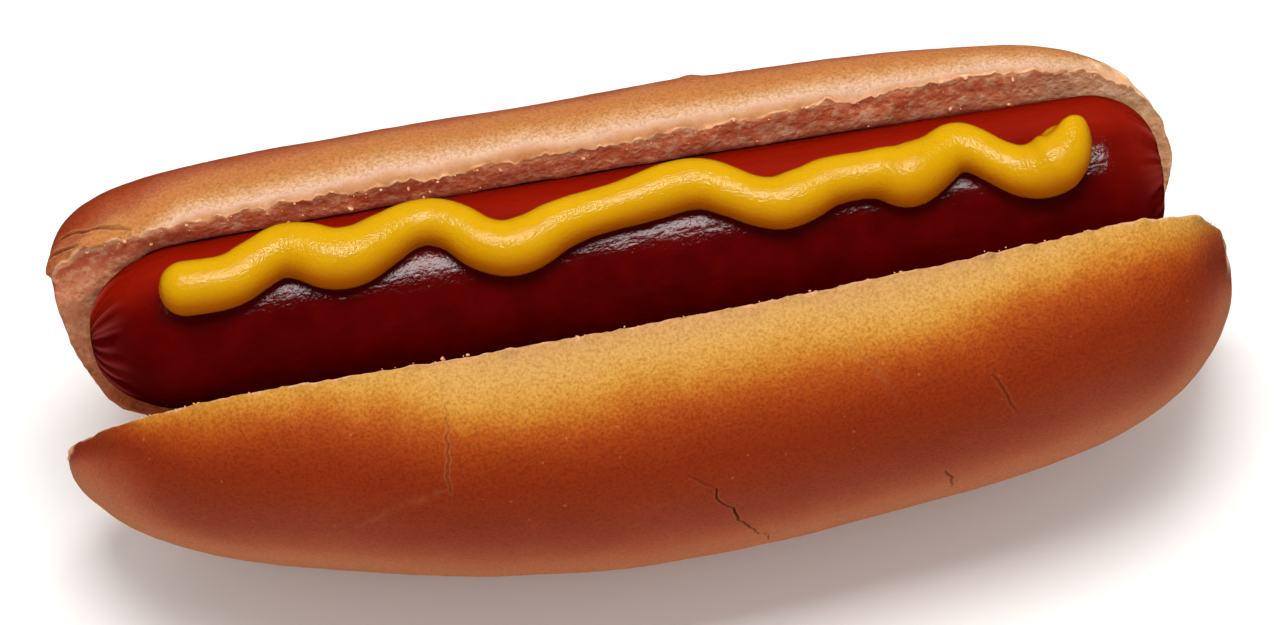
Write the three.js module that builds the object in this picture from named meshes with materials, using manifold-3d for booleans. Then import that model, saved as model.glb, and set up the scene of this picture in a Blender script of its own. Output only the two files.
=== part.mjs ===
// A hot dog: a side-sliced bun standing on its hinge and opened like a book, a frankfurter
// lying in the slit, and a wavy bead of mustard piped along the top of the frankfurter.
//
// Millimetres, +X along the bun, +Y towards the taller half, +Z up. The origin is under the
// middle of the object, on the surface it rests on.
//
// Each body starts as a sphere with its poles on the X axis. Every vertex is then carried to
// the place that the body's form function gives for its two parameters: `along`, from the
// left pole (0) to the right pole (1), and `around`, once round the section.

import * as THREE from 'three';
import { mergeVertices } from 'three/addons/utils/BufferGeometryUtils.js';
import Module from 'manifold-3d';

const { PI, abs, atan2, cos, exp, hypot, max, min, round, sign, sin, sqrt } = Math;
const { clamp, degToRad, lerp } = THREE.MathUtils;

// --- Driving dimensions ---------------------------------------------------------------

// Space kept between pieces that touch.
const GAP = 0.3;

// Vertices closer than this are one vertex.
const WELD = 1e-4;

// Frankfurter: radius, ends, length of each rounded end, and height of its axis.
const SAUSAGE_RADIUS = 10.9;
const SAUSAGE_LEFT = -66.5;
const SAUSAGE_RIGHT = 71;
const SAUSAGE_CAP = 10.5;
const SAUSAGE_CAP_ROUNDNESS = 0.9;
const SAUSAGE_AXIS_HEIGHT = 43.6;

// The tied skin at each end is drawn into pleats.
const PLEATS = 7;
const PLEAT_DEPTH = 0.45;

// Mustard: the bead's half-width, how far its centre is above the skin, and how much
// fuller it is where it was started.
const BEAD_RADIUS = 3.5;
const BEAD_RISE = 2.2;
const BEAD_START_SWELL = 0.3;
const BEAD_START_LENGTH = 6;
const BEAD_ROUNDING = 3;

// Turns of the bead: distance along the frankfurter, swing round it in degrees (towards
// the taller half is positive), and lift off the skin. The last three are the curled tail.
const BEAD_TURNS = [
  [-56.5, -1.5, 0],
  [-50.0, -3.5, 0],
  [-41.0, 9.5, 0],
  [-34.5, 1.0, 0],
  [-23.5, 14.0, 0],
  [-13.5, -10.0, 0],
  [-4.0, 1.5, 0],
  [9.5, 10.5, 0],
  [20.5, -9.5, 0],
  [30.0, -0.5, 0],
  [36.5, -4.5, 0],
  [43.5, 7.0, 0],
  [52.5, -9.5, 0],
  [57.5, -6.5, 0.2],
  [59.2, 0.5, 2.2],
  [59.0, 6.0, 4.6],
];
const BEAD_TAIL_LENGTH = 8;

// Bun: height of the uncut hinge, where the hinge is in front of the frankfurter's axis,
// how square its section is, and how much of the underside is flat from standing.
const HINGE_HEIGHT = 6;
const HINGE_OFFSET = -2.9;
const LOAF_SQUARENESS = 2.7;
const REST_FLAT = 0.6;

// How far each half reaches over the middle plane below the hinge, so that they join.
const WEB_OVERLAP = 0.4;

// The two halves of the closed loaf. `width` is from hinge side to cut edge, and `depth`
// from cut face to crust. `left` and `right` are the tips, and `tipLeft` and `tipRight`
// their heights above the hinge side. The falls say how bluntly the cut edge, the hinge
// side and the depth run out into each tip: a higher power is blunter. `lean` is how far
// the cut face leans out in the middle, with its change along the bun and towards both
// ends. `belly` is the extra depth, as a share, at `bellyAt`.
const FRONT = {
  side: -1, width: 53, depth: 23.2, left: -71.8, right: 79.6, tipLeft: 23.5, tipRight: 17,
  edgeFallLeft: 4.5, edgeFallRight: 12, hingeFallLeft: 3.6, hingeFallRight: 3.4,
  depthFallLeft: 2.2, depthFallRight: 5.6,
  lean: 12.9, leanAlong: -2.1, leanEnds: -3, belly: 0.14, bellyAt: 4.4,
};
const BACK = {
  side: 1, width: 56, depth: 20.4, left: -70.1, right: 74.6, tipLeft: 49.5, tipRight: 30,
  edgeFallLeft: 8, edgeFallRight: 8, hingeFallLeft: 4.5, hingeFallRight: 4,
  depthFallLeft: 6, depthFallRight: 1.7,
  lean: 15.7, leanAlong: 2.9, leanEnds: 0.9, belly: -0.05, bellyAt: -6.7,
};
const LEAN_SPAN = 75;
const BELLY_SPAN = 34;

// Facets: steps along and around each body. A bun half has so many steps round its crust
// and so many back up its cut face.
const HALF_STEPS = 40;
const CRUST_STEPS = 24;
const CUT_STEPS = 6;
const SAUSAGE_STEPS = 32;
const SAUSAGE_AROUND = 28;
const BEAD_STEPS = 86;
const BEAD_AROUND = 12;

// --- Turning form functions into closed bodies ------------------------------------------

// A closed body from a form function of (along, around), both between 0 and 1.
function formed(stepsAlong, stepsAround, form) {
  const geometry = new THREE.SphereGeometry(1, stepsAround, stepsAlong);
  const { position, uv } = geometry.attributes;
  for (let i = 0; i < position.count; i += 1) {
    const place = form(uv.getY(i), uv.getX(i));
    position.setXYZ(i, place.x, place.y, place.z);
  }
  geometry.deleteAttribute('normal');
  geometry.deleteAttribute('uv');
  return mergeVertices(geometry, WELD);
}

// --- Frankfurter ------------------------------------------------------------------------

// Section of the frankfurter at a share of its length: its place, its radius, and how
// strongly the skin is pleated there. A share of the steps goes to each rounded end.
function sausageSection(along, grown) {
  const capShare = 0.3;
  const left = SAUSAGE_LEFT - grown;
  const right = SAUSAGE_RIGHT + grown;
  const cap = SAUSAGE_CAP + grown;
  const inCap = min(along, 1 - along) / capShare;
  if (inCap >= 1) {
    const share = (along - capShare) / (1 - 2 * capShare);
    return { x: lerp(left + cap, right - cap, share), radius: SAUSAGE_RADIUS + grown, pleated: 0 };
  }
  const turn = (inCap * PI) / 2;
  const reach = cap * (1 - cos(turn));
  return {
    x: along < capShare ? left + reach : right - reach,
    radius: (SAUSAGE_RADIUS + grown) * sin(turn) ** SAUSAGE_CAP_ROUNDNESS,
    pleated: sin(turn) * cos(turn) ** 2,
  };
}

// The frankfurter's skin, or the same skin grown outwards to cut its neighbours.
function sausageForm(grown) {
  return (along, around) => {
    const section = sausageSection(along, grown);
    const turn = around * 2 * PI;
    const pleat = PLEAT_DEPTH * section.pleated * cos(PLEATS * turn);
    const radius = section.radius + (grown > 0 ? PLEAT_DEPTH * section.pleated : pleat);
    return new THREE.Vector3(section.x, radius * sin(turn), SAUSAGE_AXIS_HEIGHT - radius * cos(turn));
  };
}

// --- Mustard ----------------------------------------------------------------------------

// A point on the bead's centre line, from its distance along, its swing and its lift.
function beadPoint([x, swing, lift]) {
  const turn = degToRad(swing);
  const radius = SAUSAGE_RADIUS + BEAD_RISE + lift;
  return new THREE.Vector3(x, radius * sin(turn), SAUSAGE_AXIS_HEIGHT + radius * cos(turn));
}

// The bead: a round section carried along the turns, fuller at its start, rounded where it
// starts, and drawn out to a point at its tail.
function beadForm() {
  const path = new THREE.CatmullRomCurve3(BEAD_TURNS.map(beadPoint), false, 'centripetal');
  const length = path.getLength();
  const endShare = 0.06;
  return (along, around) => {
    const eased = along < endShare ? endShare * (1 - cos((along / endShare) * (PI / 2))) : along;
    const centre = path.getPointAt(eased);
    const forward = path.getTangentAt(eased);
    const out = new THREE.Vector3(0, centre.y, centre.z - SAUSAGE_AXIS_HEIGHT).normalize();
    const across = new THREE.Vector3().crossVectors(out, forward).normalize();
    const upright = new THREE.Vector3().crossVectors(forward, across);
    const gone = eased * length;
    const left = length - gone;
    const start = sqrt(clamp(1 - (1 - min(gone / BEAD_ROUNDING, 1)) ** 2, 0, 1));
    const tail = sqrt(clamp(left / BEAD_TAIL_LENGTH, 0, 1));
    const swell = BEAD_START_SWELL * exp(-((gone / BEAD_START_LENGTH) ** 2));
    const radius = (BEAD_RADIUS + swell) * start * tail;
    const turn = around * 2 * PI;
    return centre
      .clone()
      .addScaledVector(across, radius * sin(turn))
      .addScaledVector(upright, -radius * cos(turn));
  };
}

// --- Bun --------------------------------------------------------------------------------

// How much of a size is left at x, running out to nothing at each end.
function fall(half, x, leftPower, rightPower) {
  const share = x < 0 ? x / half.left : x / half.right;
  const power = x < 0 ? leftPower : rightPower;
  return sqrt(max(0, 1 - abs(share) ** power));
}

// Section of one half of the closed loaf at x: height of its middle, how far it reaches
// above and below, its depth, and the lean of its cut face once opened.
function halfSection(half, x) {
  const span = x / LEAN_SPAN;
  const tip = x < 0 ? half.tipLeft : half.tipRight;
  const edge = tip + (half.width - tip) * fall(half, x, half.edgeFallLeft, half.edgeFallRight);
  const low = tip - tip * fall(half, x, half.hingeFallLeft, half.hingeFallRight);
  const belly = 1 + half.belly * exp(-(((x - half.bellyAt) / BELLY_SPAN) ** 2));
  return {
    middle: (edge + low) / 2,
    reach: (edge - low) / 2,
    depth: half.depth * belly * fall(half, x, half.depthFallLeft, half.depthFallRight),
    lean: degToRad(half.lean + half.leanAlong * span + half.leanEnds * span ** 2),
  };
}

// Opens the loaf: a point of the closed half, `up` from the hinge side and `deep` from the
// cut face, turned about the hinge. The cut face turns by the whole lean, the underside
// not at all.
function opened(half, x, up, deep, lean) {
  const rise = up - HINGE_HEIGHT;
  const reach = hypot(deep, rise);
  const turn = lean + (atan2(deep, rise) * (PI - lean)) / PI;
  const y = HINGE_OFFSET + half.side * reach * sin(turn);
  return new THREE.Vector3(x, y, max(HINGE_HEIGHT + reach * cos(turn), REST_FLAT));
}

// One half of the bun: round the crust from the cut edge to the hinge side, then back up
// the cut face.
function halfForm(half) {
  const steps = CRUST_STEPS + CUT_STEPS;
  return (along, around) => {
    const middle = (half.left + half.right) / 2;
    const x = middle - ((half.right - half.left) / 2) * cos(PI * along);
    const section = halfSection(half, x);
    const step = round(half.side > 0 ? steps - around * steps : around * steps);
    if (step <= CRUST_STEPS) {
      const turn = (PI * step) / CRUST_STEPS;
      const up = section.middle + section.reach * sign(cos(turn)) * abs(cos(turn)) ** (2 / LOAF_SQUARENESS);
      const deep = section.depth * abs(sin(turn)) ** (2 / LOAF_SQUARENESS);
      return joined(half, up, opened(half, x, up, step < CRUST_STEPS ? deep : 0, section.lean));
    }
    const share = (step - CRUST_STEPS - 1) / (CUT_STEPS - 1);
    const bend = clamp(HINGE_HEIGHT, section.middle - section.reach, section.middle);
    const up = lerp(bend, section.middle + section.reach, share);
    return joined(half, up, opened(half, x, up, 0, section.lean));
  };
}

// Below the hinge, carries a point on the middle plane a little way over it.
function joined(half, up, place) {
  const onPlane = abs(place.y - HINGE_OFFSET) < WEB_OVERLAP;
  if (onPlane && up <= HINGE_HEIGHT) {
    place.setY(HINGE_OFFSET - half.side * WEB_OVERLAP);
  }
  return place;
}

// --- Booleans ---------------------------------------------------------------------------

const manifold = await Module();
manifold.setup();

function solidOf(geometry) {
  const vertProperties = new Float32Array(geometry.attributes.position.array);
  const triVerts = new Uint32Array(geometry.index.array);
  return new manifold.Manifold(new manifold.Mesh({ numProp: 3, vertProperties, triVerts }));
}

function geometryOf(solid) {
  const mesh = solid.getMesh();
  const geometry = new THREE.BufferGeometry();
  geometry.setAttribute('position', new THREE.BufferAttribute(new Float32Array(mesh.vertProperties), 3));
  geometry.setIndex(new THREE.BufferAttribute(new Uint32Array(mesh.triVerts), 1));
  geometry.computeVertexNormals();
  return geometry;
}

const seat = solidOf(formed(SAUSAGE_STEPS, SAUSAGE_AROUND, sausageForm(GAP)));
const frontHalf = solidOf(formed(HALF_STEPS, CRUST_STEPS + CUT_STEPS, halfForm(FRONT)));
const backHalf = solidOf(formed(HALF_STEPS, CRUST_STEPS + CUT_STEPS, halfForm(BACK)));
const bead = solidOf(formed(BEAD_STEPS, BEAD_AROUND, beadForm()));

// --- The object ---------------------------------------------------------------------------

const crust = new THREE.MeshStandardMaterial({ color: 0xb5733c, roughness: 0.62, metalness: 0 });
const skin = new THREE.MeshStandardMaterial({ color: 0x7a0e08, roughness: 0.3, metalness: 0 });
const sauce = new THREE.MeshStandardMaterial({ color: 0xdda70c, roughness: 0.32, metalness: 0 });

function piece(name, geometry, material) {
  const mesh = new THREE.Mesh(geometry, material);
  mesh.name = name;
  return mesh;
}

const hotDog = new THREE.Group();
hotDog.name = 'hot_dog';
hotDog.add(piece('bun', geometryOf(frontHalf.add(backHalf).subtract(seat)), crust));
hotDog.add(piece('sausage', geometryOf(solidOf(formed(SAUSAGE_STEPS, SAUSAGE_AROUND, sausageForm(0)))), skin));
hotDog.add(piece('mustard', geometryOf(bead.subtract(seat)), sauce));

// Stand the object on z = 0 with the middle of its box over the origin.
const box = new THREE.Box3().setFromObject(hotDog);
const middle = box.getCenter(new THREE.Vector3());
hotDog.position.set(-middle.x, -middle.y, -box.min.z);

export default hotDog;
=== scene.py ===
"""The looks of a hot dog: a hinged bun, a frankfurter in its slit and a bead of mustard.

Forms are worked out in millimetres in the bun's own frame, with the frankfurter's axis over
y = 0, and placed in metres by the datum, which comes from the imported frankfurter's box.
"""

from __future__ import annotations

import logging
import math
import random
from dataclasses import dataclass
from enum import Enum
from typing import Any, Iterable, Iterator, Sequence

import bmesh
import bpy
from mathutils import Matrix, Vector, noise
from mathutils.geometry import interpolate_bezier


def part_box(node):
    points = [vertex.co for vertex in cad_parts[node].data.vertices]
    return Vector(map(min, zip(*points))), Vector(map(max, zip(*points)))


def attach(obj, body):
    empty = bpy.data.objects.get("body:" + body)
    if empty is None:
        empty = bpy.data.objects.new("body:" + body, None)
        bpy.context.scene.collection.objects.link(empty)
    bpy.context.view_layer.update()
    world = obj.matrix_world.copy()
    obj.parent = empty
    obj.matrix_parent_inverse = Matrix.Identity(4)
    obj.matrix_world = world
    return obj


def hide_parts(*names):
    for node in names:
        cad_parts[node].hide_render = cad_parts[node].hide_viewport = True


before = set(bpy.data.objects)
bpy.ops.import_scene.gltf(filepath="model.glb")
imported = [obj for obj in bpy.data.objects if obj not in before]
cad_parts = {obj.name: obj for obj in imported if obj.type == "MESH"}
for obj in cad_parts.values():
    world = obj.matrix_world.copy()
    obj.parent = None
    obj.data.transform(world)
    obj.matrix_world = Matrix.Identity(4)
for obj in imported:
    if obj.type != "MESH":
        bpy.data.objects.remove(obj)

LOG = logging.getLogger("hot_dog")
MM = 0.001
BODY = "root"
FRAME_WIDTH = 1280

Colour = tuple[float, float, float, float]
# Rows of three numbers, whose meaning is given where each table stands. In a table of noise
# they are the height, size and seed of each layer.
Layers = tuple[tuple[float, float, float], ...]
Keys = dict[str, Any]


# --- Small helpers ---


def tint(red: int, green: int, blue: int) -> Colour:
    """Turns a display colour into the linear one that shaders use.

    Args:
        red: Red, 0 to 255.
        green: Green, 0 to 255.
        blue: Blue, 0 to 255.

    Returns:
        The linear colour with full alpha.
    """

    def linear(level: int) -> float:
        """Gives one channel in linear light."""
        share = level / 255
        return share / 12.92 if share <= 0.04045 else ((share + 0.055) / 1.055) ** 2.4

    return (linear(red), linear(green), linear(blue), 1.0)


def clamp(value: float, low: float = 0.0, high: float = 1.0) -> float:
    """Keeps a value between two bounds."""
    return max(low, min(high, value))


def ease(low: float, high: float, value: float) -> float:
    """Rises smoothly from 0 at low to 1 at high."""
    share = clamp((value - low) / (high - low))
    return share * share * (3 - 2 * share)


def hump(distance: float, width: float) -> float:
    """A smooth bump of height 1 that dies away over the width."""
    return math.exp(-((distance / width) ** 2))


def steps_between(stops: Sequence[tuple[float, float]], at: float) -> float:
    """Reads a curve given by a few stops, easing between them.

    Args:
        stops: Pairs of place and value, in rising order of place.
        at: The place to read.

    Returns:
        The value there.
    """
    if at <= stops[0][0]:
        return stops[0][1]
    for (low, before), (high, after) in zip(stops, stops[1:]):
        if at <= high:
            return before + (after - before) * ease(low, high, at)
    return stops[-1][1]


def rough(point: Vector, size: float, seed: float = 0.0) -> float:
    """Smooth noise with lumps of about the given size, between about -1 and 1."""
    return noise.noise(point / size + Vector((seed, seed * 1.7, seed * 0.3)))


def wander(x: float, size: float, seed: float) -> float:
    """Noise along one line, between about -1 and 1."""
    return noise.noise(Vector((x / size, seed, seed * 0.7)))


def layered(point: Vector, layers: Iterable[tuple[float, float, float]]) -> float:
    """Adds up layers of noise at a point."""
    return sum(height * rough(point, size, seed) for height, size, seed in layers)


def strayed(x: float, layers: Iterable[tuple[float, float, float]]) -> float:
    """Adds up layers of noise along one line."""
    return sum(height * wander(x, size, seed) for height, size, seed in layers)


def sphere_grid(
    bm: bmesh.types.BMesh, rings: int, around: int
) -> Iterator[tuple[bmesh.types.BMVert, int, float]]:
    """Adds a sphere whose vertices are then carried to their places on a long form.

    Args:
        bm: The mesh under construction.
        rings: Steps from one pole to the other.
        around: Vertices in each ring.

    Returns:
        Each vertex, with its ring counted from the first pole and its turn in radians.
    """
    made = bmesh.ops.create_uvsphere(bm, u_segments=around, v_segments=rings, radius=1.0)
    for vert in made["verts"]:
        along = math.acos(clamp(-vert.co.z, -1.0, 1.0)) / math.pi
        yield vert, round(along * rings), math.atan2(vert.co.y, vert.co.x)


def mesh_from(bm: bmesh.types.BMesh, name: str) -> bpy.types.Mesh:
    """Turns a mesh under construction into a finished one.

    Args:
        bm: The mesh under construction, which is freed.
        name: The finished one's name.

    Returns:
        The finished mesh.
    """
    mesh = bpy.data.meshes.new(name)
    bm.to_mesh(mesh)
    bm.free()
    return mesh


def show(name: str, data: bpy.types.ID) -> bpy.types.Object:
    """Puts an object with this data in the scene."""
    made = bpy.data.objects.new(name, data)
    bpy.context.scene.collection.objects.link(made)
    return made


@dataclass(frozen=True)
class Datum:
    """Places a form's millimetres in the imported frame."""

    shift: Vector

    @classmethod
    def from_sausage(cls, left: float, axis_height: float) -> "Datum":
        """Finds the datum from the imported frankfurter's box.

        Args:
            left: Where the frankfurter's left end is in the form's frame.
            axis_height: The height of its axis there.

        Returns:
            The datum.
        """
        low, high = (Vector(corner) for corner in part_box("sausage"))
        middle = (low + high) / 2
        return cls(Vector((low.x - left * MM, middle.y, middle.z - axis_height * MM)))

    def place(self, point: Vector) -> Vector:
        """Turns a point in millimetres into its place in metres."""
        return point * MM + self.shift


# --- Forms ---


@dataclass(frozen=True)
class SausageForm:
    """Sizes of the frankfurter, in millimetres."""

    radius: float = 10.9
    left: float = -66.5
    right: float = 70.9
    cap_left: float = 12.6
    cap_right: float = 9.4
    axis_height: float = 43.6
    taper: float = 45.0
    taper_loss: float = 0.09
    right_taper: float = 0.3

    def cap(self, x: float) -> float:
        """Length of the rounded end on this side."""
        return self.cap_left if x < 0 else self.cap_right

    def radius_at(self, x: float) -> float:
        """Radius of the skin, nothing past the ends.

        Args:
            x: Place along the frankfurter.

        Returns:
            The radius in millimetres.
        """
        reach = min(x - self.left, self.right - x)
        if reach <= 0:
            return 0.0
        loss = self.taper_loss * (1.0 if x < 0 else self.right_taper)
        full = self.radius * (1 - loss * clamp(1 - reach / self.taper) ** 2)
        cap = self.cap(x)
        return full if reach >= cap else full * math.sin(math.acos(1 - reach / cap))

    def x_at(self, along: float, cap_share: float = 0.2) -> float:
        """Spreads steps along the frankfurter, closer together in its rounded ends.

        Args:
            along: Share of the steps, from the left end.
            cap_share: Share of the steps that each end has.

        Returns:
            Their x.
        """
        inward = min(along, 1 - along) / cap_share
        if inward >= 1:
            share = (along - cap_share) / (1 - 2 * cap_share)
            start, stop = self.left + self.cap_left, self.right - self.cap_right
            return start + (stop - start) * share
        reach = 1 - math.cos(inward * math.pi / 2)
        if along < 0.5:
            return self.left + self.cap_left * reach
        return self.right - self.cap_right * reach


class Side(Enum):
    """The half of the bun a point belongs to, by the sign of its y."""

    FRONT = -1
    BACK = 1


@dataclass(frozen=True)
class HalfForm:
    """Sizes of one half of the closed loaf, in millimetres and degrees."""

    side: Side
    width: float
    depth: float
    left: float
    right: float
    tip_left: float
    tip_right: float
    edge_fall: tuple[float, float]
    hinge_fall: tuple[float, float]
    depth_fall: tuple[float, float]
    lean: float
    lean_along: float
    lean_ends: float
    belly: float
    belly_at: float
    hinge_height: float = 6.0
    hinge_offset: float = -2.9
    squareness: float = 2.7
    lean_span: float = 75.0
    belly_span: float = 34.0
    rest_flat: float = 0.6

    def tip(self, x: float) -> float:
        """Height of the tip on this side."""
        return self.tip_left if x < 0 else self.tip_right

    def fall(self, x: float, powers: tuple[float, float]) -> float:
        """How much of a size is left, running out to nothing at each tip.

        Args:
            x: Place along the bun.
            powers: How squarely it runs out at the left and at the right.

        Returns:
            Its share, 0 to 1.
        """
        share = x / self.left if x < 0 else x / self.right
        power = powers[0] if x < 0 else powers[1]
        return math.sqrt(max(0.0, 1 - abs(share) ** power))

    def edge(self, x: float) -> float:
        """Height of the cut edge on the closed loaf."""
        return self.tip(x) + (self.width - self.tip(x)) * self.fall(x, self.edge_fall)

    def low(self, x: float) -> float:
        """Height of the underside on the closed loaf."""
        return self.tip(x) - self.tip(x) * self.fall(x, self.hinge_fall)

    def deep(self, x: float) -> float:
        """Depth from the cut face to the crust."""
        belly = 1 + self.belly * hump(x - self.belly_at, self.belly_span)
        return self.depth * belly * self.fall(x, self.depth_fall)

    def lean_at(self, x: float) -> float:
        """Lean of the opened cut face, in radians."""
        span = x / self.lean_span
        return math.radians(self.lean + self.lean_along * span + self.lean_ends * span**2)

    def opened(self, x: float, up: float, deep: float) -> Vector:
        """Turns a point of the closed half about the hinge to where it lies opened.

        Args:
            x: Place along the bun.
            up: Its height on the closed half.
            deep: How far it lies behind the cut face.

        Returns:
            The point, opened.
        """
        lean = self.lean_at(x)
        rise = up - self.hinge_height
        reach = math.hypot(deep, rise)
        turn = lean + math.atan2(deep, rise) * (math.pi - lean) / math.pi
        y = self.hinge_offset + self.side.value * reach * math.sin(turn)
        z = self.hinge_height + reach * math.cos(turn)
        return Vector((x, y, z))

    def crust(self, x: float, angle: float) -> Vector:
        """A point of the crust.

        Args:
            x: Place along the bun.
            angle: Degrees round the section, from the cut edge (0) to the underside (180).

        Returns:
            The point, opened.
        """
        edge, low = self.edge(x), self.low(x)
        middle, reach, deep = (edge + low) / 2, (edge - low) / 2, self.deep(x)
        if angle >= 180:
            return self.opened(x, low, 0.0)
        turn = math.radians(angle)
        across = abs(math.cos(turn)) / max(reach, 1e-6)
        outward = math.sin(turn) / max(deep, 1e-6)
        size = (across**self.squareness + outward**self.squareness) ** (-1 / self.squareness)
        return self.opened(x, middle + size * math.cos(turn), size * math.sin(turn))

    def cut(self, x: float, down: float) -> Vector:
        """A point of the cut face, so far down from its edge."""
        return self.opened(x, self.edge(x) - down, 0.0)

    def cut_depth(self, x: float) -> float:
        """How far the cut face runs down from its edge to the hinge."""
        edge, low = self.edge(x), self.low(x)
        return edge - clamp(self.hinge_height, low, (edge + low) / 2)

    def uphill(self, x: float) -> Vector:
        """Direction from the hinge towards the cut edge, once opened."""
        lean = self.lean_at(x)
        return Vector((0.0, self.side.value * math.sin(lean), math.cos(lean)))


FRONT_HALF = HalfForm(
    side=Side.FRONT,
    width=53.0,
    depth=23.2,
    left=-71.8,
    right=79.6,
    tip_left=23.5,
    tip_right=17.0,
    edge_fall=(4.5, 12.0),
    hinge_fall=(3.6, 3.4),
    depth_fall=(2.2, 5.6),
    lean=12.9,
    lean_along=-2.1,
    lean_ends=-3.0,
    belly=0.14,
    belly_at=4.4,
)
BACK_HALF = HalfForm(
    side=Side.BACK,
    width=56.0,
    depth=20.4,
    left=-70.1,
    right=74.6,
    tip_left=49.5,
    tip_right=30.0,
    edge_fall=(8.0, 8.0),
    hinge_fall=(4.5, 4.0),
    depth_fall=(6.0, 1.7),
    lean=15.7,
    lean_along=2.9,
    lean_ends=0.9,
    belly=-0.05,
    belly_at=-6.7,
)


# --- Marks on the crust ---


ARC_PER_DEGREE = 0.46


@dataclass(frozen=True)
class Mark:
    """A crack or a crease in the crust, along a few places of x and angle."""

    side: Side
    places: tuple[tuple[float, float], ...]
    width: float
    depth: float
    dark: float = 0.0
    pale: float = 0.0
    lip: float = 0.0
    jag: float = 0.35

    def distance(self, x: float, arc: float) -> tuple[float, float]:
        """How far a place is from the mark.

        Args:
            x: Place along the bun.
            arc: Place round the crust, in millimetres from the cut edge.

        Returns:
            The distance in millimetres, and how far along the mark it is, 0 to 1.
        """
        best, at = 1e9, 0.0
        count = len(self.places) - 1
        for index in range(count):
            (x0, a0), (x1, a1) = self.places[index], self.places[index + 1]
            start = Vector((x0, a0 * ARC_PER_DEGREE))
            run = Vector((x1, a1 * ARC_PER_DEGREE)) - start
            share = clamp((Vector((x, arc)) - start).dot(run) / run.length_squared)
            gap = (Vector((x, arc)) - start - run * share).length
            if gap < best:
                best, at = gap, (index + share) / count
        return best, at

    def strength(self, x: float, arc: float) -> tuple[float, float]:
        """How strongly the mark shows at a place.

        Args:
            x: Place along the bun.
            arc: Place round the crust, in millimetres from the cut edge.

        Returns:
            Its strength in the groove, and on the lips beside it.
        """
        reach = self.width * 6 + self.jag * 2
        low_x = min(place[0] for place in self.places) - reach
        high_x = max(place[0] for place in self.places) + reach
        if not low_x < x < high_x:
            return 0.0, 0.0
        shifted_x = x + self.jag * wander(arc, 1.1, 3.3) + self.jag * wander(arc, 3.1, 5.1)
        shifted_arc = arc + self.jag * wander(x, 1.3, 8.3)
        gap, at = self.distance(shifted_x, shifted_arc)
        taper = math.sqrt(max(0.0, math.sin(math.pi * clamp(0.06 + 0.88 * at))))
        return taper * hump(gap, self.width), taper * hump(gap - self.width * 2.2, self.width)


MARKS = (
    Mark(
        Side.FRONT,
        (
            (6.9, 50.5), (7.7, 55.0), (9.2, 59.0), (9.9, 66.0), (11.3, 72.0), (12.6, 82.0),
            (14.2, 92.0), (14.1, 100.0),
        ),
        width=0.11, depth=0.7, dark=0.9, lip=0.14, jag=0.45,
    ),
    Mark(
        Side.FRONT, ((3.6, 43.0), (5.0, 46.5), (6.9, 50.5)),
        width=0.14, depth=0.2, dark=0.3, pale=0.1, jag=0.3,
    ),
    Mark(
        Side.FRONT, ((-24.3, 13.0), (-25.1, 25.0), (-25.4, 38.0)),
        width=0.12, depth=0.2, dark=0.22, pale=0.1, lip=0.12, jag=0.45,
    ),
    Mark(
        Side.FRONT, ((-25.4, 37.0), (-31.8, 41.0), (-40.8, 54.0)),
        width=0.2, depth=0.08, pale=0.12, jag=0.4,
    ),
    Mark(
        Side.FRONT, ((43.4, 34.0), (44.4, 39.0), (46.0, 49.0)),
        width=0.13, depth=0.2, dark=0.4, lip=0.06, jag=0.25,
    ),
    Mark(
        Side.FRONT, ((37.0, 70.0), (38.0, 79.0), (38.3, 92.0)),
        width=0.15, depth=0.35, dark=0.6, lip=0.12, jag=0.3,
    ),
    Mark(
        Side.FRONT, ((25.6, 15.0), (28.0, 22.0), (31.8, 36.0)),
        width=0.16, depth=0.16, dark=0.25, pale=0.2, jag=0.2,
    ),
    Mark(
        Side.BACK, ((-69.5, 19.0), (-65.0, 9.0), (-59.5, 3.2)),
        width=0.26, depth=0.45, dark=0.4, lip=0.18,
    ),
    Mark(
        Side.BACK, ((-70.0, 11.0), (-68.2, 6.0), (-66.0, 1.5)),
        width=0.22, depth=0.4, dark=0.35, lip=0.18,
    ),
    Mark(
        Side.BACK, ((18.0, 52.0), (24.0, 61.0), (27.0, 74.0)),
        width=0.14, depth=0.35, dark=0.5, lip=0.12, jag=0.6,
    ),
    Mark(
        Side.BACK, ((-38.0, 84.0), (-33.0, 88.0), (-30.0, 97.0)),
        width=0.14, depth=0.25, dark=0.35, lip=0.1, jag=0.5,
    ),
)


# --- The bun ---

# Places where a cut edge stands up or is torn away: x, width and height.
EDGE_NICKS: dict[Side, Layers] = {
    Side.FRONT: (
        (-15.5, 0.7, 0.55), (-13.2, 0.5, -0.4), (16.2, 0.6, 0.45), (29.8, 0.5, 0.5),
        (31.6, 0.7, -0.45), (45.2, 0.6, 0.45), (49.9, 0.8, 0.5), (64.6, 0.9, 0.6),
        (67.6, 1.2, -0.5), (73.0, 1.1, 1.3), (75.6, 0.8, -0.3),
    ),
    Side.BACK: (
        (-43.0, 0.9, 0.4), (-18.0, 0.7, -0.4), (7.0, 0.7, 0.35), (33.0, 0.8, -0.4),
        (61.0, 0.9, 0.5),
    ),
}
# How much further baked each half is along x: x and degrees round the section.
BAKED_ALONG: dict[Side, tuple[tuple[float, float], ...]] = {
    Side.FRONT: (
        (-71.0, 42.0), (-66.0, 28.0), (-60.0, 17.0), (-50.0, 13.5), (-42.0, 12.0),
        (-34.0, 8.0), (-18.0, 0.5), (0.0, 0.0), (40.0, 0.5), (50.0, 4.5), (60.0, 8.0),
        (70.0, 10.0), (78.0, 20.0),
    ),
    Side.BACK: (
        (-68.0, 20.0), (-60.0, 11.0), (-50.0, 2.0), (-38.0, 0.5), (-20.0, 0.0),
        (20.0, 0.0), (36.0, 2.5),
    ),
}
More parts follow.
